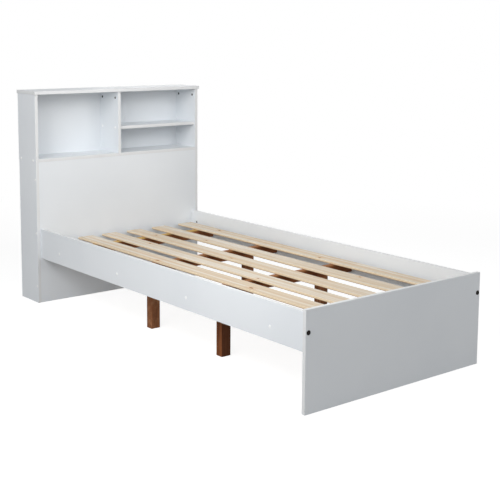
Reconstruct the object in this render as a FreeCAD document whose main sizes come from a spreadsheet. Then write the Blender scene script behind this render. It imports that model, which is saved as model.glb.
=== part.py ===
import FreeCAD, Part
import Sketcher
import math
import os

# A single bed with a bookcase headboard, in millimetres.
# X runs across the width, +Y towards the headboard, +Z up. The origin is the middle of the
# footprint on the floor. White faced boards make the headboard, the two rails and the footboard.
# Four brown cross bearers hang between the rails on screws, the middle two stand on legs, and
# six pine slats lie along them.

doc = FreeCAD.newDocument("BookcaseBed")
sheet = doc.addObject("Spreadsheet::Sheet", "sheet")

DIMENSIONS = {
    # boards and the mattress space between them
    "board": 16.0,              # thickness of every faced board
    "board_round": 0.8,         # rounding of the edge bands
    "rail_gap": 905.0,          # clear width for a 900 mattress
    "rail_length": 1905.0,      # clear length for a 1900 mattress
    "rail_depth": 146.0,
    "rail_bottom": 224.0,
    "rail_inset": 5.0,          # rail face inside the ends of the footboard and front panel
    "foot_height": 380.0,
    # headboard
    "side_height": 1030.0,
    "head_depth": 175.0,
    "panel_setback": 1.5,       # front panel behind the front edges around it
    "top_overhang": 5.0,
    "top_nosing": 8.0,
    "base_height": 716.0,       # top face of the bookcase base
    "shelf_height": 853.0,      # top face of the fixed shelf
    "shelf_setback": 12.0,
    "divider_face": 0.0,        # right face of the divider
    "back_thick": 3.0,
    # timber under the mattress
    "bearer_width": 30.0,
    "bearer_depth": 45.0,
    "bearer_bottom": 255.0,
    "bearer_drill": 20.0,       # screw centre above a bearer's underside
    "bearer_first": 180.0,      # headboard to the first bearer's middle
    "bearer_pitch": 515.0,
    "leg_width": 46.0,
    "leg_depth": 38.0,
    "leg_offset": 276.0,
    "slat_width": 84.0,
    "slat_thick": 10.0,
    "slat_gap_head": 22.0,      # free space at each end of a slat
    "slat_first": -380.0,       # middle of the slat nearest the left rail
    "slat_step_a": 150.0,       # the slats lie a little unevenly, wider apart to the right
    "slat_step_b": 139.0,
    "slat_step_c": 149.0,
    "slat_step_d": 157.0,
    "slat_step_e": 171.0,
    "timber_round": 1.5,
    # where the holes are drilled
    "drill_front": 28.0,        # from a board's front edge
    "drill_back": 152.0,
    "panel_screw_low": 84.0,
    "panel_screw_step": 265.0,
    "cam_drop": 32.0,           # cam centre below the top of its board
    "nut_setback": 44.0,        # barrel nut from the rail's end
    "head_bolt_rise": 13.0,     # bolts at the head above the rails' middle, where the foot's are
    "dowel_spread": 35.0,       # dowels above and below the rails' middle
    "bore_play": 0.2,           # a bore is this much wider than what goes in it
    "end_play": 1.0,            # a blind bore is this much deeper
    # fixings
    "screw_head": 10.0,
    "screw_head_thick": 3.0,
    "screw_shaft": 6.4,
    "screw_length": 50.0,
    "screw_point": 3.0,
    "socket_width": 4.0,         # across the flats of a screw's six-sided socket
    "socket_depth": 2.5,
    "cap_width": 13.0,
    "cap_thick": 2.4,           # at the crown of its dome
    "cap_stem": 4.0,
    "cap_stem_length": 2.0,
    "cam_width": 12.0,
    "cam_thick": 12.8,
    "cam_channel": 7.2,
    "cam_slot": 1.4,
    "pin_shaft": 6.8,
    "pin_neck": 4.5,
    "pin_neck_length": 6.0,
    "pin_head_length": 3.0,
    "pin_thread": 5.0,
    "pin_thread_length": 10.0,
    "bolt_head": 18.0,
    "bolt_head_thick": 3.0,
    "bolt_shaft": 6.0,
    "bolt_length": 70.0,
    "bolt_socket": 5.0,          # across the flats
    "bolt_socket_depth": 2.2,
    "nut_width": 12.0,
    "nut_length": 12.0,
    "dowel_width": 8.0,
    "dowel_length": 30.0,
    "dowel_in_board": 10.0,
    "dowel_bevel": 1.0,
    "leg_screw_width": 8.0,
    "leg_screw_length": 60.0,
    "leg_screw_point": 6.0,
    "slat_nail_width": 1.8,
    "slat_nail_length": 30.0,
    "slat_nail_head": 3.0,
    "back_nail_width": 1.5,
    "back_nail_length": 19.0,
    "back_nail_head": 4.0,
    "nail_head_thick": 0.8,
}

for row, (alias, value) in enumerate(DIMENSIONS.items(), start=1):
    cell = f"A{row}"
    sheet.set(cell, str(value))
    sheet.setAlias(cell, alias)
doc.recompute()


class Size:
    """A length with its value and the sheet formula that gives it."""

    def __init__(self, value, formula=None):
        self.value = float(value)
        self.formula = formula if formula is not None else repr(float(value))

    def combined(self, other, sign, result):
        return Size(result, f"({self.formula} {sign} {other.formula})")

    def __add__(self, other):
        other = as_size(other)
        return self.combined(other, "+", self.value + other.value)

    def __sub__(self, other):
        other = as_size(other)
        return self.combined(other, "-", self.value - other.value)

    def __mul__(self, other):
        other = as_size(other)
        return self.combined(other, "*", self.value * other.value)

    def __truediv__(self, other):
        other = as_size(other)
        return self.combined(other, "/", self.value / other.value)

    def __neg__(self):
        return self * -1


def as_size(number):
    """The number itself if it is already a Size, otherwise a fixed Size."""
    return number if isinstance(number, Size) else Size(number)


def cell_size(alias):
    """The Size of one aliased cell of the sheet."""
    return Size(sheet.get(alias), f"sheet.{alias}")


def bind(thing, field, size):
    """Tie a property or constraint to the sheet formula of a Size."""
    thing.setExpression(field, as_size(size).formula)


def place(thing, corner, rotation=FreeCAD.Rotation()):
    """Put a sub-part at a corner, with each coordinate bound to the sheet."""
    corner = [as_size(coordinate) for coordinate in corner]
    base = FreeCAD.Vector(*[coordinate.value for coordinate in corner])
    thing.Placement = FreeCAD.Placement(base, rotation)
    for letter, coordinate in zip("xyz", corner):
        bind(thing, f"Placement.Base.{letter}", coordinate)


def pin_point(sketch, line, point, position):
    """Fix one sketch point at a position measured from the sketch origin."""
    for kind, axis, size in (("DistanceX", -2, position[0]), ("DistanceY", -1, position[1])):
        size = as_size(size)
        if size.value == 0:
            sketch.addConstraint(Sketcher.Constraint("PointOnObject", line, point, axis))
            continue
        number = sketch.addConstraint(Sketcher.Constraint(kind, -1, 1, line, point, size.value))
        bind(sketch, f"Constraints[{number}]", size)


def outline(sketch, corners):
    """Draw a closed outline of straight lines through the corners."""
    corners = [(as_size(across), as_size(along)) for across, along in corners]
    for number, start in enumerate(corners):
        end = corners[(number + 1) % len(corners)]
        sketch.addGeometry(Part.LineSegment(
            FreeCAD.Vector(start[0].value, start[1].value, 0),
            FreeCAD.Vector(end[0].value, end[1].value, 0)))
    for number, start in enumerate(corners):
        following = (number + 1) % len(corners)
        sketch.addConstraint(Sketcher.Constraint("Coincident", number, 2, following, 1))
        pin_point(sketch, number, 1, start)


def new_sketch(body, name, role):
    """An empty sketch on one of the body's own origin planes."""
    sketch = body.newObject("Sketcher::SketchObject", name)
    plane = [feature for feature in body.Origin.OriginFeatures if feature.Role == role][0]
    sketch.AttachmentSupport = [(plane, "")]
    sketch.MapMode = "FlatFace"
    return sketch


# For each face of a board: its origin plane, the axes of the sketch on it, the axis that the
# drill follows, which way the sketch moves to reach the face, and whether the cut is reversed.
FACES = {
    "left": ("YZ_Plane", (1, 2), 0, 0, True),
    "right": ("YZ_Plane", (1, 2), 0, 1, False),
    "foot": ("XZ_Plane", (0, 2), 1, 0, False),
    "head": ("XZ_Plane", (0, 2), 1, -1, True),
    "under": ("XY_Plane", (0, 1), 2, 0, True),
    "upper": ("XY_Plane", (0, 1), 2, 1, False),
}


class Board:
    """A rectangular board or timber with rounded edges and drilled holes."""

    def __init__(self, label, corner, extent, edge_round):
        self.label = label
        self.corner = [as_size(size) for size in corner]
        self.extent = [as_size(size) for size in extent]
        self.body = doc.addObject("PartDesign::Body", label)
        sketch = new_sketch(self.body, f"{label}_face", "XY_Plane")
        width, length, height = self.extent
        outline(sketch, [(0, 0), (width, 0), (width, length), (0, length)])
        pad = self.body.newObject("PartDesign::Pad", f"{label}_pad")
        pad.Profile = sketch
        bind(pad, "Length", height)
        doc.recompute()
        rounding = self.body.newObject("PartDesign::Fillet", f"{label}_edges")
        rounding.Base = (pad, [f"Edge{number + 1}" for number in range(len(pad.Shape.Edges))])
        bind(rounding, "Radius", edge_round)
        place(self.body, self.corner)
        doc.recompute()
        subparts.append(self.body)

    def drill(self, name, face, centres, width, depth):
        """Sink round holes into a face, their centres given in the bed's own frame."""
        role, across, along, offset, reverse = FACES[face]
        sketch = new_sketch(self.body, f"{self.label}_{name}_marks", role)
        if offset:
            bind(sketch, "AttachmentOffset.Base.z", self.extent[along] * offset)
        for number, centre in enumerate(centres):
            local = [as_size(size) - self.corner[axis] for size, axis in zip(centre, across)]
            middle = FreeCAD.Vector(local[0].value, local[1].value, 0)
            sketch.addGeometry(Part.Circle(middle, FreeCAD.Vector(0, 0, 1), width.value / 2))
            pin_point(sketch, number, 3, local)
            rule = sketch.addConstraint(Sketcher.Constraint("Diameter", number, width.value))
            bind(sketch, f"Constraints[{rule}]", width)
        before = self.body.Shape.Volume
        pocket = self.body.newObject("PartDesign::Pocket", f"{self.label}_{name}")
        pocket.Profile = sketch
        pocket.Reversed = reverse
        bind(pocket, "Length", depth)
        doc.recompute()
        # A stepped hole cuts only the ring that the narrower one leaves, so a third is enough.
        removed = before - self.body.Shape.Volume
        expected = len(centres) * math.pi * (width.value / 2) ** 2 * depth.value
        if removed < expected / 3:
            raise RuntimeError(f"{self.label}: {name} cuts {removed:.0f} of {expected:.0f}")

    def screw_holes(self, name, face, centres):
        """Clearance holes through a board, with a recess for each screw's head."""
        self.drill(f"{name}_clearance", face, centres, screw_shaft + bore_play, board)
        self.drill(f"{name}_recess", face, centres, screw_head + bore_play, screw_head_thick)

    def screw_bores(self, name, face, centres):
        """Blind bores for the ends of screws that come through another board."""
        depth = screw_length - board + end_play
        self.drill(name, face, centres, screw_shaft + bore_play, depth)


def turned(name, profile):
    """A turned piece: a profile of (radius, distance) corners revolved about local Z."""
    body = doc.addObject("PartDesign::Body", name)
    sketch = new_sketch(body, f"{name}_profile", "XZ_Plane")
    outline(sketch, profile)
    turn = body.newObject("PartDesign::Revolution", f"{name}_turn")
    turn.Profile = sketch
    turn.ReferenceAxis = (sketch, ["V_Axis"])
    turn.Angle = 360
    doc.recompute()
    return body


def solid_block(name, corner, extent):
    """A rectangular block used to cut a fixing."""
    block = doc.addObject("Part::Box", name)
    for field, size in zip(("Length", "Width", "Height"), extent):
        bind(block, field, size)
    place(block, corner)
    return block


def solid_rod(name, width, length, corner=(0, 0, 0), rotation=FreeCAD.Rotation()):
    """A round rod along local Z before it is turned by its rotation."""
    rod = doc.addObject("Part::Cylinder", name)
    bind(rod, "Radius", width / 2)
    bind(rod, "Height", length)
    place(rod, corner, rotation)
    return rod


def socket_key(name, flats, depth):
    """A six-sided prism along local Z, sized across its flats, that cuts a socket."""
    key = doc.addObject("Part::Prism", name)
    key.Polygon = 6
    bind(key, "Circumradius", flats / math.sqrt(3))
    bind(key, "Height", depth)
    return key


def cut_from(name, stock, tools):
    """The stock with every tool cut out of it."""
    gather = tools[0]
    if len(tools) > 1:
        gather = doc.addObject("Part::MultiFuse", f"{name}_tools")
        gather.Shapes = tools
    cut = doc.addObject("Part::Cut", name)
    cut.Base = stock
    cut.Tool = gather
    doc.recompute()
    return cut


def fixing_group(label, pattern, stations):
    """One node of identical fixings, each at a station of (place, rotation)."""
    copies = []
    for number, (point, rotation) in enumerate(stations):
        copy = doc.addObject("App::Link", f"{label}_{number + 1}")
        copy.LinkedObject = pattern
        place(copy, point, rotation)
        copies.append(copy)
    group = doc.addObject("Part::Compound", label)
    group.Links = copies
    doc.recompute()
    subparts.append(group)
    return group


def aimed(into, mark=None):
    """The rotation that points local Z into the material, and local X along the mark."""
    if mark is None:
        return FreeCAD.Rotation(FreeCAD.Vector(0, 0, 1), into)
    return FreeCAD.Rotation(mark, into.cross(mark), into, "ZXY")


RIGHT = FreeCAD.Vector(1, 0, 0)
LEFT = FreeCAD.Vector(-1, 0, 0)
HEADWARD = FreeCAD.Vector(0, 1, 0)
FOOTWARD = FreeCAD.Vector(0, -1, 0)
UP = FreeCAD.Vector(0, 0, 1)
DOWN = FreeCAD.Vector(0, 0, -1)

subparts = []

board = cell_size("board")
bore_play = cell_size("bore_play")
end_play = cell_size("end_play")
board_round = cell_size("board_round")
timber_round = cell_size("timber_round")
screw_head = cell_size("screw_head")
screw_head_thick = cell_size("screw_head_thick")
screw_shaft = cell_size("screw_shaft")
screw_length = cell_size("screw_length")
rail_length = cell_size("rail_length")
head_depth = cell_size("head_depth")
back_thick = cell_size("back_thick")
side_height = cell_size("side_height")
base_height = cell_size("base_height")
nail_head_thick = cell_size("nail_head_thick")
bolt_head_thick = cell_size("bolt_head_thick")

# The main planes of the bed. The front panel of the headboard stands where the whole bed, from the
# bolt heads at the foot to the nail heads at the back, is centred on the origin.
reach_foot = rail_length + board + bolt_head_thick
panel_setback = cell_size("panel_setback")
reach_head = head_depth - panel_setback + back_thick + nail_head_thick
head_face = (reach_foot - reach_head) / 2
foot_face = head_face - rail_length
head_front = head_face - panel_setback
head_rear = head_front + head_depth
rail_inner = cell_size("rail_gap") / 2
rail_outer = rail_inner + board
rail_middle = rail_inner + board / 2
panel_end = rail_outer + cell_size("rail_inset")
side_outer = panel_end + board
side_middle = panel_end + board / 2
base_under = base_height - board
base_middle = base_height - board / 2
rail_bottom = cell_size("rail_bottom")
rail_depth = cell_size("rail_depth")
rail_level = rail_bottom + rail_depth / 2
bolt_levels = {"head": rail_level + cell_size("head_bolt_rise"), "foot": rail_level}
dowel_levels = [rail_level - cell_size("dowel_spread"), rail_level + cell_size("dowel_spread")]
shelf_height = cell_size("shelf_height")
shelf_middle = shelf_height - board / 2
shelf_front = head_front + cell_size("shelf_setback")
divider_right = cell_size("divider_face")
divider_left = divider_right - board
divider_middle = divider_right - board / 2
cam_level = side_height - cell_size("cam_drop")
drill_rows = [head_front + cell_size("drill_front"), head_front + cell_size("drill_back")]
panel_middle = head_face + board / 2
panel_screw_levels = [
    cell_size("panel_screw_low") + cell_size("panel_screw_step") * step for step in range(3)]
bearer_bottom = cell_size("bearer_bottom")
bearer_width = cell_size("bearer_width")
bearer_depth = cell_size("bearer_depth")
bearer_level = bearer_bottom + cell_size("bearer_drill")
bearer_top = bearer_bottom + bearer_depth
bearer_rows = [
    head_face - cell_size("bearer_first") - cell_size("bearer_pitch") * step for step in range(4)]
legged_rows = bearer_rows[1:3]
leg_offset = cell_size("leg_offset")
slat_width = cell_size("slat_width")
slat_thick = cell_size("slat_thick")
slat_middles = [cell_size("slat_first")]
for letter in "abcde":
    slat_middles.append(slat_middles[-1] + cell_size(f"slat_step_{letter}"))

# Sizes of the holes that the fixings go in.
cam_width = cell_size("cam_width")
cam_thick = cell_size("cam_thick")
cam_bore = cam_width + bore_play
cam_bore_depth = cam_thick + bore_play
pin_shaft = cell_size("pin_shaft")
pin_bore = pin_shaft + bore_play
pin_length = cell_size("cam_drop") + cell_size("pin_head_length")
pin_thread_bore = cell_size("pin_thread") + bore_play
pin_thread_length = cell_size("pin_thread_length")
bolt_shaft = cell_size("bolt_shaft")
bolt_bore = bolt_shaft + end_play
bolt_length = cell_size("bolt_length")
nut_setback = cell_size("nut_setback")
nut_places = [(head_face - nut_setback, bolt_levels["head"]),
              (foot_face + nut_setback, bolt_levels["foot"])]
nut_width = cell_size("nut_width")
nut_length = cell_size("nut_length")
dowel_width = cell_size("dowel_width")
dowel_bore = dowel_width + bore_play
dowel_length = cell_size("dowel_length")
dowel_in_board = cell_size("dowel_in_board")
leg_screw_width = cell_size("leg_screw_width")
leg_screw_length = cell_size("leg_screw_length")
leg_screw_bore = leg_screw_width + bore_play
leg_screw_bore_depth = leg_screw_length / 2 + end_play
slat_nail_width = cell_size("slat_nail_width")
slat_nail_bore = slat_nail_width + bore_play
slat_nail_head = cell_size("slat_nail_head")
slat_nail_length = cell_size("slat_nail_length")
back_nail_width = cell_size("back_nail_width")
back_nail_bore = back_nail_width + bore_play
back_nail_length = cell_size("back_nail_length")


def up_row(row, levels):
    """Points on a side face in one row along Y, one at each level."""
    return [(row, level) for level in levels]


def along_rows(rows, level):
    """Points on a side face at one level, one in each row along Y."""
    return [(row, level) for row in rows]


def grid(columns, lines):
    """Every pairing of a column with a line."""
    return [(column, line) for column in columns for line in lines]


# Places of the nails that hold the thin back, by the board that each goes into.
niche_height = side_height - base_height
side_nail_levels = [base_height + niche_height * share for share in (0.15, 0.5, 0.85)]
divider_nail_levels = [base_height + niche_height * share for share in (0.25, 0.75)]
base_nail_columns = [panel_end * share for share in (-0.75, -0.25, 0.25, 0.75)]
shelf_nail_columns = [panel_end * share for share in (0.33, 0.67)]


def make_headboard_sides():
    """Two full-height side panels: cam holes inside, capped screw holes outside."""
    for label, inner, outer, corner_x, middle in (
            ("headboard_side_left", "right", "left", -side_outer, -side_middle),
            ("headboard_side_right", "left", "right", panel_end, side_middle)):
        side = Board(label, (corner_x, head_front, 0), (board, head_depth, side_height), board_round)
        side.drill("cam_holes", inner, along_rows(drill_rows, cam_level), cam_bore, cam_bore_depth)
        side.drill("pin_bores", "upper", grid([middle], drill_rows), pin_bore, pin_length + end_play)
        holes = along_rows(drill_rows, base_middle) + up_row(panel_middle, panel_screw_levels)
        if label.endswith("right"):
            holes += along_rows(drill_rows, shelf_middle)
        side.screw_holes("screws", outer, holes)
        side.drill("nail_bores", "head", grid([middle], side_nail_levels), back_nail_bore,
                   back_nail_length - back_thick + end_play)


def make_headboard_top():
    """The top board, proud of the sides at both ends and at the front."""
    overhang = cell_size("top_overhang")
    nosing = cell_size("top_nosing")
    half = side_outer + overhang
    top = Board("headboard_top", (-half, head_front - nosing, side_height),
                (half * 2, nosing + head_depth + back_thick, board), board_round)
    columns = [-side_middle, divider_middle, side_middle]
    top.drill("pin_threads", "under", grid(columns, drill_rows), pin_thread_bore,
              pin_thread_length + bore_play)


def make_bookcase():
    """The base, the divider, the shelf of the right half and the thin nailed back."""
    inner_width = panel_end * 2
    base = Board("bookcase_base", (-panel_end, head_front, base_under),
                 (inner_width, head_depth, board), board_round)
    base.screw_bores("left_bores", "left", along_rows(drill_rows, base_middle))
    base.screw_bores("right_bores", "right", along_rows(drill_rows, base_middle))
    base.screw_holes("divider_screws", "under", grid([divider_middle], drill_rows))
    base.drill("nail_bores", "head", grid(base_nail_columns, [base_middle]), back_nail_bore,
               back_nail_length - back_thick + end_play)

    divider = Board("bookcase_divider", (divider_left, head_front, base_height),
                    (board, head_depth, niche_height), board_round)
    divider.drill("cam_holes", "left", along_rows(drill_rows, cam_level), cam_bore, cam_bore_depth)
    divider.drill("pin_bores", "upper", grid([divider_middle], drill_rows), pin_bore,
                  pin_length + end_play)
    divider.screw_holes("shelf_screws", "left", along_rows(drill_rows, shelf_middle))
    divider.screw_bores("base_bores", "under", grid([divider_middle], drill_rows))
    divider.drill("nail_bores", "head", grid([divider_middle], divider_nail_levels),
                  back_nail_bore, back_nail_length - back_thick + end_play)

    shelf = Board("bookcase_shelf", (divider_right, shelf_front, shelf_height - board),
                  (panel_end - divider_right, head_rear - shelf_front, board), board_round)
    shelf.screw_bores("left_bores", "left", along_rows(drill_rows, shelf_middle))
    shelf.screw_bores("right_bores", "right", along_rows(drill_rows, shelf_middle))
    shelf.drill("nail_bores", "head", grid(shelf_nail_columns, [shelf_middle]), back_nail_bore,
                back_nail_length - back_thick + end_play)

    back = Board("bookcase_back", (-side_outer, head_rear, base_under),
                 (side_outer * 2, back_thick, side_height - base_under), back_thick / 10)
    back.drill("nail_holes", "head", back_nail_places(), back_nail_bore, back_thick)


def back_nail_places():
    """All nails of the thin back, as (across, up) on its rear face."""
    return (grid([-side_middle, side_middle], side_nail_levels)
            + grid([divider_middle], divider_nail_levels)
            + grid(base_nail_columns, [base_middle])
            + grid(shelf_nail_columns, [shelf_middle]))


def make_front_panel():
    """The panel under the bookcase that the rails are bolted to."""
    panel = Board("headboard_front_panel", (-panel_end, head_face, 0),
                  (panel_end * 2, board, base_under), board_round)
    panel.screw_bores("left_bores", "left", up_row(panel_middle, panel_screw_levels))
    panel.screw_bores("right_bores", "right", up_row(panel_middle, panel_screw_levels))
    drill_rail_joint(panel, "head", "foot")


def drill_rail_joint(panel, end, rail_side):
    """Two bolt holes through the panel at one end of the rails, and two dowel holes beside each."""
    columns = [-rail_middle, rail_middle]
    panel.drill("bolt_holes", end, grid(columns, [bolt_levels[end]]), bolt_bore, board)
    panel.drill("dowel_holes", rail_side, grid(columns, dowel_levels), dowel_bore,
                dowel_in_board + bore_play)


def make_footboard():
    """The plain end panel, standing on the floor."""
    panel = Board("footboard", (-panel_end, foot_face - board, 0),
                  (panel_end * 2, board, cell_size("foot_height")), board_round)
    drill_rail_joint(panel, "foot", "head")


def make_rails():
    """Two side rails with bolt, nut and dowel bores at each end and holes for the bearers."""
    for label, inner, outer, corner_x, middle in (
            ("side_rail_left", "right", "left", -rail_outer, -rail_middle),
            ("side_rail_right", "left", "right", rail_inner, rail_middle)):
        rail = Board(label, (corner_x, foot_face, rail_bottom), (board, rail_length, rail_depth),
                     board_round)
        for end, level in bolt_levels.items():
            rail.drill(f"bolt_bore_{end}", end, [(middle, level)], bolt_bore,
                       bolt_length - board + end_play)
            rail.drill(f"dowel_bores_{end}", end, grid([middle], dowel_levels), dowel_bore,
                       dowel_length - dowel_in_board + bore_play)
        rail.drill("nut_bores", inner, nut_places, nut_width + bore_play, (board + nut_length) / 2)
        rail.screw_holes("bearer_screws", outer, along_rows(bearer_rows, bearer_level))


def make_bearers_and_legs():
    """Four cross bearers between the rails, and two legs under each of the middle two."""
    for number, row in enumerate(bearer_rows, start=1):
        bearer = Board(f"cross_bearer_{number}", (-rail_inner, row - bearer_width / 2, bearer_bottom),
                       (rail_inner * 2, bearer_width, bearer_depth), timber_round)
        bearer.screw_bores("left_bore", "left", [(row, bearer_level)])
        bearer.screw_bores("right_bore", "right", [(row, bearer_level)])
        bearer.drill("nail_bores", "upper", grid(slat_middles, [row]), slat_nail_bore,
                     slat_nail_length - slat_thick + end_play)
        if row in legged_rows:
            bearer.drill("leg_bores", "under", grid([-leg_offset, leg_offset], [row]),
                         leg_screw_bore, leg_screw_bore_depth)

    leg_width = cell_size("leg_width")
    leg_depth = cell_size("leg_depth")
    for place_name, row in zip(("head", "foot"), legged_rows):
        for side_name, middle in (("left", -leg_offset), ("right", leg_offset)):
            leg = Board(f"support_leg_{place_name}_{side_name}",
                        (middle - leg_width / 2, row - leg_depth / 2, 0),
                        (leg_width, leg_depth, bearer_bottom), timber_round)
            leg.drill("screw_bore", "upper", [(middle, row)], leg_screw_bore, leg_screw_bore_depth)


def make_slats():
    """Six thin slats that lie along the bed on the bearers, nailed at each crossing."""
    gap = cell_size("slat_gap_head")
    for number, middle in enumerate(slat_middles, start=1):
        slat = Board(f"slat_{number}", (middle - slat_width / 2, foot_face + gap, bearer_top),
                     (slat_width, rail_length - gap * 2, slat_thick), timber_round)
        crossings = grid([middle], bearer_rows)
        slat.drill("nail_holes", "upper", crossings, slat_nail_bore, slat_thick)
        slat.drill("nail_sinks", "upper", crossings, slat_nail_head + bore_play,
                   nail_head_thick + bore_play)


def capped_screw_stations():
    """Screws whose heads show under a cap: side panels, divider and rails."""
    stations = []
    for direction, face, with_shelf in ((RIGHT, -side_outer, False), (LEFT, side_outer, True)):
        points = along_rows(drill_rows, base_middle) + up_row(panel_middle, panel_screw_levels)
        if with_shelf:
            points += along_rows(drill_rows, shelf_middle)
        stations += [((face, row, level), direction) for row, level in points]
    stations += [((divider_left, row, shelf_middle), RIGHT) for row in drill_rows]
    for direction, face in ((RIGHT, -rail_outer), (LEFT, rail_outer)):
        stations += [((face, row, bearer_level), direction) for row in bearer_rows]
    return stations


def make_screws_and_caps():
    """The screws that join boards and bearers, and the push-in caps over their heads."""
    point = cell_size("screw_point")
    shaft = screw_shaft / 2
    stock = turned("screw_stock", [
        (0, 0), (screw_head / 2, 0), (screw_head / 2, screw_head_thick), (shaft, screw_head_thick),
        (shaft, screw_length - point), (shaft / 2, screw_length), (0, screw_length)])
    key = socket_key("screw_socket", cell_size("socket_width"), cell_size("socket_depth"))
    screw = cut_from("screw_pattern", stock, [key])
    shown = capped_screw_stations()
    hidden = [((divider_middle, row, base_under), UP) for row in drill_rows]
    fixing_group("assembly_screws", screw,
                 [(spot, aimed(direction)) for spot, direction in shown + hidden])

    cap_radius = cell_size("cap_width") / 2
    cap_thick = cell_size("cap_thick")
    stem = cell_size("cap_stem") / 2
    cap = turned("cap_pattern", [
        (0, 0), (cap_radius * 0.4, cap_thick * 0.08), (cap_radius * 0.7, cap_thick * 0.28),
        (cap_radius * 0.9, cap_thick * 0.58), (cap_radius, cap_thick * 0.9),
        (cap_radius, cap_thick), (stem, cap_thick), (stem, cap_thick + cell_size("cap_stem_length")),
        (0, cap_thick + cell_size("cap_stem_length"))])
    stations = []
    for (face, row, level), direction in shown:
        stations.append(((face - cap_thick * direction.x, row, level), aimed(direction)))
    fixing_group("screw_caps", cap, stations)


def make_cams():
    """Six cam locks and the pins that hang from the top board into them."""
    radius = cam_width / 2
    channel = cell_size("cam_channel")
    slot = cell_size("cam_slot")
    pin_depth = board / 2
    stock = solid_rod("cam_stock", cam_width, cam_thick)
    tools = [
        solid_block("cam_channel_block", (-channel, channel / -2, pin_depth - channel / 2),
                    (channel + radius, channel, channel)),
        solid_block("cam_cross_long", (slot * -2.5, slot / -2, 0), (slot * 5, slot, slot)),
        solid_block("cam_cross_wide", (slot / -2, slot * -2.5, 0), (slot, slot * 5, slot)),
    ]
    cam = cut_from("cam_pattern", stock, tools)
    stations = []
    for face, direction in ((-panel_end, LEFT), (divider_left, RIGHT), (panel_end, RIGHT)):
        stations += [((face, row, cam_level), aimed(direction, UP)) for row in drill_rows]
    fixing_group("cam_locks", cam, stations)

    shaft = pin_shaft / 2
    neck = cell_size("pin_neck") / 2
    thread = cell_size("pin_thread") / 2
    neck_end = pin_thread_length + pin_length - cell_size("pin_head_length")
    neck_start = neck_end - cell_size("pin_neck_length")
    head_end = pin_thread_length + pin_length
    pin = turned("cam_pin_pattern", [
        (0, 0), (thread, 0), (thread, pin_thread_length), (shaft, pin_thread_length),
        (shaft, neck_start), (neck, neck_start), (neck, neck_end), (shaft, neck_end),
        (shaft, head_end), (0, head_end)])
    top_of_pin = side_height + pin_thread_length
    spots = grid([-side_middle, divider_middle, side_middle], drill_rows)
    fixing_group("cam_pins", pin,
                 [((column, row, top_of_pin), aimed(DOWN)) for column, row in spots])


def make_rail_fixings():
    """Bolts, barrel nuts and dowels at the four ends of the rails."""
    head_radius = cell_size("bolt_head") / 2
    shaft = bolt_shaft / 2
    bolt_end = bolt_head_thick + bolt_length
    stock = turned("bolt_stock", [
        (0, 0), (head_radius * 0.55, 0), (head_radius * 0.85, bolt_head_thick / 4),
        (head_radius, bolt_head_thick * 2 / 3), (head_radius, bolt_head_thick),
        (shaft, bolt_head_thick), (shaft, bolt_end), (0, bolt_end)])
    key = socket_key("bolt_socket_key", cell_size("bolt_socket"), cell_size("bolt_socket_depth"))
    bolt = cut_from("rail_bolt_pattern", stock, [key])
    foot_plane = foot_face - board - bolt_head_thick
    head_plane = head_face + board + bolt_head_thick
    columns = [-rail_middle, rail_middle]
    stations = [((column, foot_plane, bolt_levels["foot"]), aimed(HEADWARD)) for column in columns]
    stations += [((column, head_plane, bolt_levels["head"]), aimed(FOOTWARD)) for column in columns]
    fixing_group("rail_bolts", bolt, stations)

    slot = cell_size("cam_slot")
    stock = solid_rod("nut_stock", nut_width, nut_length)
    thread = solid_rod("nut_thread", bolt_shaft + bore_play, nut_width * 2,
                       (-nut_width, 0, nut_length / 2), aimed(RIGHT))
    notch = solid_block("nut_notch", (-nut_width, slot / -2, 0), (nut_width * 2, slot, slot))
    nut = cut_from("barrel_nut_pattern", stock, [thread, notch])
    nut_face = rail_inner + (board - nut_length) / 2
    stations = []
    for face, direction in ((-nut_face, LEFT), (nut_face, RIGHT)):
        stations += [((face, row, level), aimed(direction, HEADWARD)) for row, level in nut_places]
    fixing_group("barrel_nuts", nut, stations)

    bevel = cell_size("dowel_bevel")
    radius = dowel_width / 2
    dowel = turned("dowel_pattern", [
        (0, 0), (radius - bevel, 0), (radius, bevel), (radius, dowel_length - bevel),
        (radius - bevel, dowel_length), (0, dowel_length)])
    spots = grid(columns, dowel_levels)
    stations = [((column, foot_face - dowel_in_board, level), aimed(HEADWARD))
                for column, level in spots]
    stations += [((column, head_face + dowel_in_board, level), aimed(FOOTWARD))
                 for column, level in spots]
    fixing_group("rail_dowels", dowel, stations)


def make_leg_screws():
    """Double-ended screws, half in a leg and half in the bearer above it."""
    radius = leg_screw_width / 2
    point = cell_size("leg_screw_point")
    screw = turned("leg_screw_pattern", [
        (0, 0), (radius / 4, 0), (radius, point), (radius, leg_screw_length - point),
        (radius / 4, leg_screw_length), (0, leg_screw_length)])
    lowest = bearer_bottom - leg_screw_length / 2
    spots = grid([-leg_offset, leg_offset], legged_rows)
    fixing_group("leg_screws", screw, [((column, row, lowest), aimed(UP)) for column, row in spots])


def make_nails():
    """Small nails: slats to bearers, and the thin back to the bookcase."""
    slat_nail = turned("slat_nail_pattern", nail_profile(
        slat_nail_head, slat_nail_width, slat_nail_length))
    slat_top = bearer_top + slat_thick
    spots = grid(slat_middles, bearer_rows)
    fixing_group("slat_nails", slat_nail,
                 [((column, row, slat_top), aimed(DOWN)) for column, row in spots])
    back_nail = turned("back_nail_pattern", nail_profile(
        cell_size("back_nail_head"), back_nail_width, back_nail_length + nail_head_thick))
    rear_plane = head_rear + back_thick + nail_head_thick
    spots = back_nail_places()
    fixing_group("back_panel_nails", back_nail,
                 [((column, rear_plane, level), aimed(FOOTWARD)) for column, level in spots])


def nail_profile(head_width, shaft_width, length):
    """Half the outline of a flat-headed nail with a short point."""
    head = head_width / 2
    shaft = shaft_width / 2
    return [(0, 0), (head, 0), (head, nail_head_thick), (shaft, nail_head_thick),
            (shaft, length - shaft_width), (shaft / 4, length), (0, length)]


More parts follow.
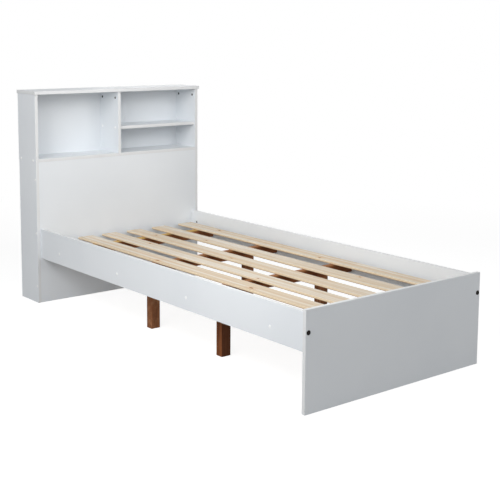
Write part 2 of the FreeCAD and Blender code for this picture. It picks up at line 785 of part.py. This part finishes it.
make_headboard_sides()
make_headboard_top()
make_bookcase()
make_front_panel()
make_rails()
make_footboard()
make_bearers_and_legs()
make_slats()
make_screws_and_caps()
make_cams()
make_rail_fixings()
make_leg_screws()
make_nails()
doc.recompute()

for thing in doc.Objects:
    if "Invalid" in thing.State or "Error" in thing.State:
        raise RuntimeError(f"{thing.Label} failed: {thing.State}")
for subpart in subparts:
    if subpart.Shape.isNull() or not subpart.Shape.isValid():
        raise RuntimeError(f"{subpart.Label} has no valid shape")

os.makedirs("parts", exist_ok=True)
for subpart in subparts:
    subpart.Shape.exportStep(os.path.join("parts", f"{subpart.Label}.step"))
print(f"{len(subparts)} sub-parts written")
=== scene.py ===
import math
import bpy
from mathutils import Matrix, Vector


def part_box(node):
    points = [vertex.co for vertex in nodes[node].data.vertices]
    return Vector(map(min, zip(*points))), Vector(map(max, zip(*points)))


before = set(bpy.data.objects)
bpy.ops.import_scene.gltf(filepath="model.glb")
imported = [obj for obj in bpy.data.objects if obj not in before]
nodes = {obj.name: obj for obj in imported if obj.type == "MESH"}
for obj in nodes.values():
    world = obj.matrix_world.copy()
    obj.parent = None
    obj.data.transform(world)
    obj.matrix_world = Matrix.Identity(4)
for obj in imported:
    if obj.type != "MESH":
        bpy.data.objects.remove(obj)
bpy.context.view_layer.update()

# The view, fitted to the corners of the bed in a square picture. Metres and radians.
CAMERA_PLACE = (-2.8243, -3.5759, 1.3202)
CAMERA_TURN = -0.6625          # about the vertical, from looking along the bed
CAMERA_TILT = -0.1313          # below the horizon
CAMERA_ROLL = 0.0033
CAMERA_REACH = 2.04984         # focal length over picture width
CAMERA_SHIFT = (0.06, -0.16)
SENSOR = 36.0


# ---------------------------------------------------------------- shader wiring

class Wire:
    """The output of a shader node. Python's operators on it add Math nodes."""

    def __init__(self, finish, socket):
        self.finish = finish
        self.socket = socket

    def math(self, operation, *values, first=None):
        """One Math node: the operation on this wire, or on first if it is given, and the values."""
        start = self if first is None else first
        sockets = dict(enumerate([start, *values]))
        return self.finish.add("ShaderNodeMath", {"operation": operation}, sockets)

    def __add__(self, other):
        return self.math("ADD", other)

    def __radd__(self, other):
        return self.math("ADD", other)

    def __sub__(self, other):
        return self.math("SUBTRACT", other)

    def __rsub__(self, other):
        return self.math("SUBTRACT", self, first=other)

    def __mul__(self, other):
        return self.math("MULTIPLY", other)

    def __rmul__(self, other):
        return self.math("MULTIPLY", other)

    def __pow__(self, other):
        return self.math("POWER", other)

    def size(self):
        """The absolute value."""
        return self.math("ABSOLUTE")

    def part(self):
        """The fraction after the whole number."""
        return self.math("FRACT")

    def lesser(self, other):
        return self.math("MINIMUM", other)

    def greater(self, other):
        return self.math("MAXIMUM", other)

    def step(self, low, high):
        """A smooth step: 0 up to low, 1 from high, and falling instead where low is above high."""
        return self.finish.add(
            "ShaderNodeMapRange", {"interpolation_type": "SMOOTHSTEP"},
            {"Value": self, "From Min": low, "From Max": high, "To Min": 0.0, "To Max": 1.0})


class Finish:
    """The node tree of one material."""

    def __init__(self, name, owner=None):
        self.material = bpy.data.materials.new(name) if owner is None else owner
        self.material.use_nodes = True
        self.tree = self.material.node_tree
        self.tree.nodes.clear()

    def add(self, kind, settings=None, values=None, output=0):
        """Add one node: its settings first, then a number, colour or wire for each socket named.

        The answer is the output asked for, or nothing where that is None.
        """
        node = self.tree.nodes.new(kind)
        for field, value in (settings or {}).items():
            setattr(node, field, value)
        for name, value in (values or {}).items():
            socket = self.find(node.inputs, name)
            if isinstance(value, Wire):
                self.tree.links.new(value.socket, socket)
            else:
                socket.default_value = value
        return None if output is None else Wire(self, self.find(node.outputs, output))

    @staticmethod
    def find(sockets, name):
        """A socket by its number, or the first one in use with that name."""
        if isinstance(name, int):
            return [socket for socket in sockets if socket.enabled][name]
        return [socket for socket in sockets if socket.enabled and socket.name == name][0]

    def place(self, scale=(1, 1, 1), shift=(0, 0, 0)):
        """The point on the piece, in its own metres, shifted and then scaled."""
        point = self.add("ShaderNodeTexCoord", output="Object")
        moved = self.add("ShaderNodeVectorMath", {"operation": "ADD"}, {0: point, 1: shift})
        return self.add("ShaderNodeVectorMath", {"operation": "MULTIPLY"}, {0: moved, 1: scale})

    def along(self, axis, start=0.0):
        """The coordinate along one axis, less the start."""
        point = self.add("ShaderNodeTexCoord", output="Object")
        apart = self.add("ShaderNodeSeparateXYZ", None, {"Vector": point}, output="XYZ"[axis])
        return apart - start

    def noise(self, vector, scale, detail=2.0, rough=0.5, warp=0.0):
        """Cloudy noise from 0 to 1, around 0.5."""
        return self.add("ShaderNodeTexNoise", None, {
            "Vector": vector, "Scale": scale, "Detail": detail, "Roughness": rough,
            "Distortion": warp})

    def blend(self, factor, low, high):
        """A colour between two colours, or wires of colours."""
        return self.add("ShaderNodeMix", {"data_type": "RGBA"}, {
            "Factor": factor, "A": as_color(low), "B": as_color(high)}, output="Result")

    def bump(self, height, strength, distance):
        """A normal bent by a height from 0 to 1 that stands for so many metres."""
        return self.add("ShaderNodeBump", None, {
            "Height": height, "Strength": strength, "Distance": distance}, output="Normal")

    def surface(self, values):
        """Close the tree with one principled surface."""
        shader = self.add("ShaderNodeBsdfPrincipled", None, values, output="BSDF")
        self.close(shader)
        return self.material

    def close(self, shader, kind="ShaderNodeOutputMaterial"):
        """Link the last shader to the tree's output."""
        self.add(kind, None, {"Surface": shader}, output=None)


def as_color(value):
    """Three numbers made a colour, and a wire left as it is."""
    return value if isinstance(value, Wire) else (*value, 1.0)


def seed_of(name):
    """A shift in metres worked out from a name, so that no two pieces share a pattern."""
    number = sum((place + 1) * ord(letter) for place, letter in enumerate(name))
    return tuple(round((number * step) % 7.0, 3) for step in (0.173, 0.311, 0.457))


# ---------------------------------------------------------------- faced boards

FACING = (0.790, 0.820, 0.848)
FACING_SHADE = (0.758, 0.790, 0.822)
BAND = (0.745, 0.757, 0.765)
GLUE_LINE = (0.560, 0.560, 0.545)
# Depths below a board's face: the band is full from one, has ended at the next, and the joint
# runs at the third.
BAND_FULL, BAND_END, SEAM_DEPTH = 0.0009, 0.0006, 0.0005
BAND_SEAM = 0.00035            # half the width of the line between facing and band


def faced_board(name, axis):
    """White facing on chipboard: a cloudy tint, a fine dimpled skin and a band along each edge.

    The band covers the points whose distance from the board's middle plane is less than half the
    thickness less the rounding, and the joint beside it is a thin grey line.
    """
    low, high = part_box(name)
    middle = (low[axis] + high[axis]) / 2
    half = (high[axis] - low[axis]) / 2
    finish = Finish(f"{name}_facing")
    point = finish.place(shift=seed_of(name))
    depth = finish.along(axis, middle).size()
    band = depth.step(half - BAND_END, half - BAND_FULL)
    joint = (depth - (half - SEAM_DEPTH)).size().step(BAND_SEAM, 0.0)
    clouds = finish.noise(point, 2.2, detail=3.0)
    skin = finish.noise(point, 900.0, detail=1.0)
    pores = finish.noise(point, 160.0, detail=2.0)
    tint = finish.blend(clouds.step(0.35, 0.7), FACING, FACING_SHADE)
    tint = finish.blend(band, tint, BAND)
    tint = finish.blend(joint * 0.55, tint, GLUE_LINE)
    rough = 0.34 + clouds * 0.10 + pores * 0.08 + band * 0.06
    normal = finish.bump(skin * 0.6 + pores * 0.4, 0.25, 0.00012)
    return finish.surface({"Base Color": tint, "Roughness": rough, "Normal": normal,
                           "Specular IOR Level": 0.45})


def thin_back(name):
    """White faced hardboard, with the faint felted look of its fibres."""
    finish = Finish(f"{name}_facing")
    point = finish.place(shift=seed_of(name))
    clouds = finish.noise(point, 3.0, detail=3.0)
    felt = finish.noise(point, 420.0, detail=3.0, rough=0.7, warp=0.4)
    tint = finish.blend(clouds.step(0.3, 0.75), FACING, FACING_SHADE)
    tint = finish.blend(felt.step(0.45, 0.75) * 0.12, tint, GLUE_LINE)
    normal = finish.bump(felt, 0.3, 0.0002)
    return finish.surface({"Base Color": tint, "Roughness": 0.42 + felt * 0.16, "Normal": normal,
                           "Specular IOR Level": 0.4})


# ---------------------------------------------------------------- timber

PINE_PALE = (0.760, 0.725, 0.650)
PINE_WARM = (0.625, 0.470, 0.295)
PINE_RING = (0.540, 0.350, 0.170)
PINE_HONEY = (0.660, 0.370, 0.140)
PINE_SIDE = (0.845, 0.690, 0.480)
# Painted shade along the bottom of the slat's sides.
PINE_SIDE_SHADE = (0.340, 0.170, 0.070)
# Painted highlight for the rounded edge between the sides and the top.
PINE_EDGE_HIGHLIGHT = (0.800, 0.730, 0.610)
KNOT = (0.235, 0.095, 0.030)
KNOT_RIM = (0.400, 0.200, 0.080)
KNOT_STRETCH = 1.9             # length over width of a knot
KNOT_PUSH = 0.009              # how far a knot shifts the rings around it
RINGS_PER_METRE = 190.0
PITH_DEPTH = 0.021             # of the pith line, above the slat's underside
PITH_WANDER = (0.075, 0.030)   # of the pith line, across the slat and in depth


def knot_field(finish, middle, knots):
    """Distance to the nearest knot, counted in that knot's own radius.

    A knot is a point across and along the slat with a radius. It is drawn as an oval that is
    longer along the grain, so the distance along the slat counts for less.
    """
    nearest = None
    for offset, row, radius in knots:
        across = finish.along(0, middle + offset) * (1 / radius)
        down = finish.along(1, row) * (1 / (radius * KNOT_STRETCH))
        distance = (across * across + down * down) ** 0.5
        nearest = distance if nearest is None else nearest.lesser(distance)
    return nearest


def pine(name, pith, honey, warmth, knots):
    """Bare pine along Y.

    Growth rings are circles about a wandering pith line beside the slat, so they run along it and
    meet in arches. Knots push the rings apart. Honey coloured streaks and warmer bands follow the
    grain where slow noises are high. The sides, left from the saw, have a tint of their own, with
    painted shade darkening them along the bottom, and the rounded edge between them and the planed
    top is paler as a painted highlight.
    """
    low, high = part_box(name)
    middle = (low[0] + high[0]) / 2
    half = (high[0] - low[0]) / 2
    finish = Finish(f"{name}_wood")
    shift = seed_of(name)
    slow = finish.noise(finish.place((1.6, 0.9, 0.6), shift), 1.0, detail=1.5)
    drift = finish.noise(finish.place((3.0, 1.1, 3.0), shift[::-1]), 1.0, detail=2.0)
    field = knot_field(finish, middle, knots)
    knot = field.step(1.0, 0.72)
    around = field.step(4.0, 0.8)
    across = finish.along(0, middle + pith) + (slow - 0.5) * PITH_WANDER[0]
    deep = finish.along(2, low[2] - PITH_DEPTH) + (drift - 0.5) * PITH_WANDER[1]
    radius = (across * across + deep * deep) ** 0.5 + around * KNOT_PUSH
    fibre = finish.noise(finish.place((900.0, 14.0, 900.0), shift), 1.0, detail=2.0)
    ring = (radius * RINGS_PER_METRE + (fibre - 0.5) * 0.35).part()
    late = ring.step(0.30, 0.92) * ring.step(1.0, 0.93)
    band = finish.noise(finish.place((64.0, 0.40, 40.0), shift), 1.0, detail=3.0)
    band = band.step(0.44, 0.60)
    streak = finish.noise(finish.place((60.0, 0.8, 40.0), shift), 1.0, detail=2.0)
    streak = streak.step(0.55, 0.72)
    tone = finish.noise(finish.place((6.0, 0.7, 4.0), shift), 1.0, detail=2.0)
    beside = finish.along(0, middle).size()
    side = beside.step(half - 0.0013, half - 0.0004)
    # Where the rounded edge lies, for its painted highlight.
    edge_highlight = (beside - (half - 0.0016)).size().step(0.0016, 0.0006)
    tint = finish.blend(tone.step(0.35, 0.75) * 0.35 + warmth, PINE_PALE, PINE_WARM)
    tint = finish.blend(band * 0.62, tint, PINE_WARM)
    tint = finish.blend(late * 0.38, tint, PINE_RING)
    tint = finish.blend(streak * honey, tint, PINE_HONEY)
    tint = finish.blend((fibre - 0.5).size() * 0.4, tint, PINE_WARM)
    tint = finish.blend(around * 0.32, tint, PINE_HONEY)
    # Painted highlight: the rounded edge made paler.
    tint = finish.blend(edge_highlight * 0.6, tint, PINE_EDGE_HIGHLIGHT)
    # The sides' own tint, darker along their bottom few millimetres as painted shade.
    side_tint_and_shade = finish.blend(finish.along(2, low[2]).step(0.0030, 0.0018), PINE_SIDE, PINE_SIDE_SHADE)
    tint = finish.blend(side * 0.85, tint, side_tint_and_shade)
    tint = finish.blend(knot, tint, finish.blend(field.step(0.3, 0.9), KNOT, KNOT_RIM))
    height = fibre * 0.5 + late * 0.35 + knot * 0.3
    normal = finish.bump(height, 0.35, 0.0005)
    return finish.surface({"Base Color": tint, "Roughness": 0.60 + fibre * 0.18 - late * 0.06,
                           "Normal": normal, "Specular IOR Level": 0.2})


STAIN = (0.240, 0.072, 0.020)
STAIN_DARK = (0.078, 0.025, 0.011)
STAIN_WORN = (0.400, 0.190, 0.095)
# Tints for the top: partly wear, partly painted light on the face the light falls on.
STAIN_TOP = (0.310, 0.140, 0.058)
BARE_AND_LIT_TOP = (0.600, 0.390, 0.130)
ACROSS_GRAIN, ALONG_GRAIN = 130.0, 5.0   # how fast the coarse grain changes, per metre
BROAD_SCALE = 9                          # how much wider the broad blotches are than the grain


def stained_timber(name, axis, top_light_and_wear, top_tint, wear, foot_face_shade):
    """Red-brown stain over coarse grain that runs along one axis.

    The top and the upper few millimetres of the sides are paler, partly wear and partly painted
    light where light falls on the top, and the face towards the foot is darker as painted shade.
    Blotches of worn and of dark stain lie over that.
    """
    low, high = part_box(name)
    grain = [ACROSS_GRAIN] * 3
    grain[axis] = ALONG_GRAIN
    finish = Finish(f"{name}_stain")
    shift = seed_of(name)
    lines = finish.noise(finish.place(grain, shift), 1.0, detail=4.0, rough=0.65)
    wide = finish.place([span / BROAD_SCALE for span in grain], shift)
    broad = finish.noise(wide, 1.0, detail=2.0, warp=0.5)
    rub = finish.noise(finish.place((22.0, 22.0, 22.0), shift), 1.0, detail=4.0, rough=0.7)
    # The top and the upper edge of the sides: paler, partly wear and partly painted light.
    top = (finish.along(2, high[2] - 0.006) + (lines - 0.5) * 0.006).step(0.0, 0.003)
    # The face towards the foot, for its painted shade.
    foot = finish.along(1, low[1] + 0.0008).step(0.0012, 0.0002)
    tint = finish.blend(lines.step(0.42, 0.66) * 0.7, STAIN, STAIN_DARK)
    tint = finish.blend((rub.step(0.46, 0.66) * 0.55 + 0.45) * wear, tint, STAIN_WORN)
    # Painted shade darkens the face towards the foot.
    tint = finish.blend(foot * foot_face_shade, tint, STAIN_DARK)
    tint = finish.blend(broad.step(0.50, 0.72) * 0.5, tint, STAIN_DARK)
    # Painted light and wear on the top.
    tint = finish.blend(top * top_light_and_wear * (1.0 - lines.step(0.48, 0.66) * 0.5), tint, top_tint)
    normal = finish.bump(lines, 0.5, 0.0006)
    return finish.surface({"Base Color": tint, "Roughness": 0.62 + lines * 0.25, "Normal": normal,
                           "Specular IOR Level": 0.14})


def beech(name):
    """Pale turned beech with short dark flecks, grain along Y."""
    finish = Finish(f"{name}_wood")
    flecks = finish.noise(finish.place((2200.0, 260.0, 2200.0)), 1.0, detail=2.0)
    grain = finish.noise(finish.place((500.0, 12.0, 500.0)), 1.0, detail=3.0)
    tint = finish.blend(grain.step(0.3, 0.7), (0.66, 0.47, 0.28), (0.52, 0.34, 0.18))
    tint = finish.blend(flecks.step(0.62, 0.72) * 0.6, tint, (0.30, 0.17, 0.08))
    normal = finish.bump(grain, 0.3, 0.0002)
    return finish.surface({"Base Color": tint, "Roughness": 0.6 + grain * 0.1, "Normal": normal})


# ---------------------------------------------------------------- metal and plastic

def zinc(name):
    """Zinc plated steel: a soft metal with a fine mottled passivation."""
    finish = Finish(f"{name}_zinc")
    mottle = finish.noise(finish.place(), 700.0, detail=3.0, rough=0.6)
    drawn = finish.noise(finish.place((900.0, 900.0, 5000.0)), 1.0, detail=1.0)
    tint = finish.blend(mottle.step(0.35, 0.7), (0.56, 0.56, 0.57), (0.38, 0.385, 0.40))
    normal = finish.bump(drawn, 0.2, 0.00005)
    return finish.surface({"Base Color": tint, "Metallic": 1.0, "Roughness": 0.30 + mottle * 0.22,
                           "Normal": normal})


# On the cam locks this dark finish is painted shade, for the shade in the holes they sit in.
def dark_bronze_and_shade(name):
    """Steel with a dark bronze finish, a little browner where handling has rubbed it."""
    finish = Finish(f"{name}_bronze")
    mottle = finish.noise(finish.place(), 520.0, detail=3.0, rough=0.6)
    tint = finish.blend(mottle.step(0.45, 0.75), (0.008, 0.006, 0.005), (0.030, 0.020, 0.014))
    normal = finish.bump(mottle, 0.25, 0.00006)
    return finish.surface({"Base Color": tint, "Metallic": 0.5, "Roughness": 0.42 + mottle * 0.2,
                           "Normal": normal, "Specular IOR Level": 0.2})


def moulded_white(name):
    """Satin white moulded plastic with a faint spark-eroded skin."""
    finish = Finish(f"{name}_plastic")
    skin = finish.noise(finish.place(), 2600.0, detail=1.0)
    clouds = finish.noise(finish.place(), 40.0, detail=2.0)
    tint = finish.blend(clouds, (0.93, 0.94, 0.94), (0.89, 0.90, 0.905))
    normal = finish.bump(skin, 0.3, 0.00005)
    return finish.surface({"Base Color": tint, "Roughness": 0.32 + skin * 0.12, "Normal": normal,
                           "Specular IOR Level": 0.5})


# ---------------------------------------------------------------- dressing the CAD pieces

def dress(name, material):
    """Put one material on a CAD piece."""
    mesh = nodes[name].data
    mesh.materials.clear()
    mesh.materials.append(material)


BOARD_AXES = {
    "headboard_side_left": 0, "headboard_side_right": 0, "headboard_top": 2,
    "bookcase_base": 2, "bookcase_divider": 0, "bookcase_shelf": 2,
    "headboard_front_panel": 1, "side_rail_left": 0, "side_rail_right": 0, "footboard": 1,
}
for label, thickness_axis in BOARD_AXES.items():
    dress(label, faced_board(label, thickness_axis))
dress("bookcase_back", thin_back("bookcase_back"))

# For each slat: how far the pith lies beside its middle, how much honey streak, how warm it is,
# and its knots, each across and along the slat in metres with its radius.
SLAT_WOOD = [
    (-0.020, 0.30, 0.00, [(0.012, 0.310, 0.007), (-0.020, -0.655, 0.005)]),
    (0.012, 0.32, 0.00, [(-0.016, -0.478, 0.0072), (-0.028, 0.168, 0.0065)]),
    (-0.030, 0.30, 0.02, [(-0.030, -0.372, 0.0040), (0.018, 0.505, 0.0055)]),
    (0.045, 0.42, 0.14, [(-0.022, 0.004, 0.0050), (0.010, 0.655, 0.0050)]),
    (-0.010, 0.30, 0.00, [(-0.026, 0.395, 0.0050), (0.024, -0.610, 0.0045)]),
    (0.028, 0.55, 0.00, [(-0.020, -0.230, 0.0055), (0.014, 0.560, 0.0060)]),
]
for number, wood in enumerate(SLAT_WOOD, start=1):
    dress(f"slat_{number}", pine(f"slat_{number}", *wood))

# For each bearer and leg: the axis its grain runs along, how much paler its top is (partly wear,
# partly painted light) and that top's tint, general wear, and how much painted shade darkens the
# face towards the foot.
STAINED_PIECES = {
    "cross_bearer_1": (0, 1.0, BARE_AND_LIT_TOP, 0.45, 0.0),
    "cross_bearer_2": (0, 0.9, STAIN_TOP, 0.20, 0.10),
    "cross_bearer_3": (0, 0.9, STAIN_TOP, 0.20, 0.10),
    "cross_bearer_4": (0, 0.9, STAIN_TOP, 0.30, 0.10),
    "support_leg_head_left": (2, 0.3, STAIN_TOP, 0.90, 0.0),
    "support_leg_head_right": (2, 0.3, STAIN_TOP, 0.35, 0.1),
    "support_leg_foot_left": (2, 0.3, STAIN_TOP, 0.24, 0.80),
    "support_leg_foot_right": (2, 0.3, STAIN_TOP, 0.75, 0.0),
}
for label, wood in STAINED_PIECES.items():
    dress(label, stained_timber(label, *wood))

dress("screw_caps", moulded_white("screw_caps"))
dress("rail_dowels", beech("rail_dowels"))
# Rail bolts and barrel nuts in dark bronze; on the cam locks the dark colour is painted shade.
for label in ("rail_bolts", "barrel_nuts", "cam_locks"):
    dress(label, dark_bronze_and_shade(label))
for label in ("assembly_screws", "cam_pins", "leg_screws", "slat_nails", "back_panel_nails"):
    dress(label, zinc(label))


# ---------------------------------------------------------------- floor, light and camera

WHITE = (1, 1, 1, 1)
FLOOR_HALF = 40.0
FLOOR_PAINT = (0.42, 0.42, 0.42, 1.0)
FLOOR_GLOW = 0.80
FLOOR_NEAR, FLOOR_FAR = 2.0, 4.0   # from the bed's middle: shadows kept up to near, white from far
SKY_LIGHT = 0.20
# Each lamp: name, place, aim, side of the square and watts.
LAMPS = [
    ("foot_left_softbox", (-3.0, -2.0, 1.8), (0.0, 0.0, 0.4), 1.6, 27.0),
    ("left_softbox", (-2.6, -0.6, 2.0), (0.0, 0.0, 0.4), 1.6, 38.0),
    ("foot_right_softbox", (1.6, -3.4, 2.4), (0.0, 0.0, 0.4), 1.6, 36.0),
    ("foot_softbox", (-2.6, -3.2, 2.4), (0.0, 0.0, 0.4), 1.6, 7.0),
    ("niche_softbox", (-0.7, -0.9, 1.15), (0.25, 1.0, 0.85), 1.0, 3.5),
    ("bed_softbox", (0.0, 0.0, 1.45), (0.0, 0.35, 0.3), 0.9, 4.6),
    ("head_left_softbox", (-2.4, 1.1, 1.5), (-0.5, 0.95, 0.6), 1.4, 1.9),
    ("back_fill", (2.4, 3.2, 1.6), (0.0, 0.5, 0.5), 2.0, 16.0),
]


def studio_floor():
    """A flat pale floor at the feet, seen a little brighter than it lights the bed.

    Near the bed the glow that the camera sees leaves room below white, so the bed's shadow shows.
    Further off, where the lamps fall away, the floor fades to plain white.
    """
    corners = [(-FLOOR_HALF, -FLOOR_HALF, 0), (FLOOR_HALF, -FLOOR_HALF, 0),
               (FLOOR_HALF, FLOOR_HALF, 0), (-FLOOR_HALF, FLOOR_HALF, 0)]
    mesh = bpy.data.meshes.new("studio_floor")
    mesh.from_pydata(corners, [], [(0, 1, 2, 3)])
    floor = bpy.data.objects.new("studio_floor", mesh)
    bpy.context.scene.collection.objects.link(floor)
    finish = Finish("studio_floor_paint")
    plain = finish.add("ShaderNodeBsdfDiffuse", None, {"Color": FLOOR_PAINT})
    glow = finish.add("ShaderNodeEmission", None, {"Color": WHITE, "Strength": FLOOR_GLOW})
    lifted = finish.add("ShaderNodeAddShader", None, {0: plain, 1: glow})
    white = finish.add("ShaderNodeEmission", None, {"Color": WHITE, "Strength": 1.0})
    across, down = finish.along(0), finish.along(1)
    away = ((across * across + down * down) ** 0.5).step(FLOOR_NEAR, FLOOR_FAR)
    shown = finish.add("ShaderNodeMixShader", None, {0: away, 1: lifted, 2: white})
    seen = seen_directly(finish)
    finish.close(finish.add("ShaderNodeMixShader", None, {0: seen, 1: plain, 2: shown}))
    mesh.materials.append(finish.material)


def seen_directly(finish):
    """1 for what the camera sees, in person or in a polished face, and 0 for light on its way."""
    camera = finish.add("ShaderNodeLightPath", output="Is Camera Ray")
    glossy = finish.add("ShaderNodeLightPath", output="Is Glossy Ray")
    through = finish.add("ShaderNodeLightPath", output="Is Transmission Ray")
    return camera.greater(glossy).greater(through)


def studio_sky(strength):
    """An even white surround that lights at one strength and shows as plain white."""
    world = bpy.data.worlds.new("studio_surround")
    bpy.context.scene.world = world
    sky = Finish("studio_surround", owner=world)
    light = sky.add("ShaderNodeBackground", None, {"Color": WHITE, "Strength": strength})
    shown = sky.add("ShaderNodeBackground", None, {"Color": WHITE, "Strength": 1.0})
    seen = seen_directly(sky)
    both = sky.add("ShaderNodeMixShader", None, {0: seen, 1: light, 2: shown})
    sky.close(both, "ShaderNodeOutputWorld")


def soft_lamp(name, place, aim, size, power):
    """A square soft light at a place, pointed at an aim."""
    lamp = bpy.data.lights.new(name, "AREA")
    lamp.size = size
    lamp.energy = power
    holder = bpy.data.objects.new(name, lamp)
    bpy.context.scene.collection.objects.link(holder)
    holder.location = place
    holder.rotation_euler = (Vector(aim) - Vector(place)).to_track_quat("-Z", "Y").to_euler()


def photo_camera():
    """A camera at the fitted place: turned about the vertical, tilted down, then rolled."""
    lens = bpy.data.cameras.new("photo_view")
    lens.sensor_width = SENSOR
    lens.lens = CAMERA_REACH * SENSOR
    lens.shift_x, lens.shift_y = CAMERA_SHIFT
    holder = bpy.data.objects.new("photo_view", lens)
    bpy.context.scene.collection.objects.link(holder)
    turn = Matrix.Rotation(CAMERA_TURN, 4, "Z")
    tilt = Matrix.Rotation(math.pi / 2 + CAMERA_TILT, 4, "X")
    roll = Matrix.Rotation(CAMERA_ROLL, 4, "Z")
    holder.matrix_world = Matrix.Translation(CAMERA_PLACE) @ turn @ tilt @ roll
    bpy.context.scene.camera = holder


studio_floor()
studio_sky(SKY_LIGHT)
for lamp_row in LAMPS:
    soft_lamp(*lamp_row)
photo_camera()
bpy.context.scene.view_settings.view_transform = "Standard"
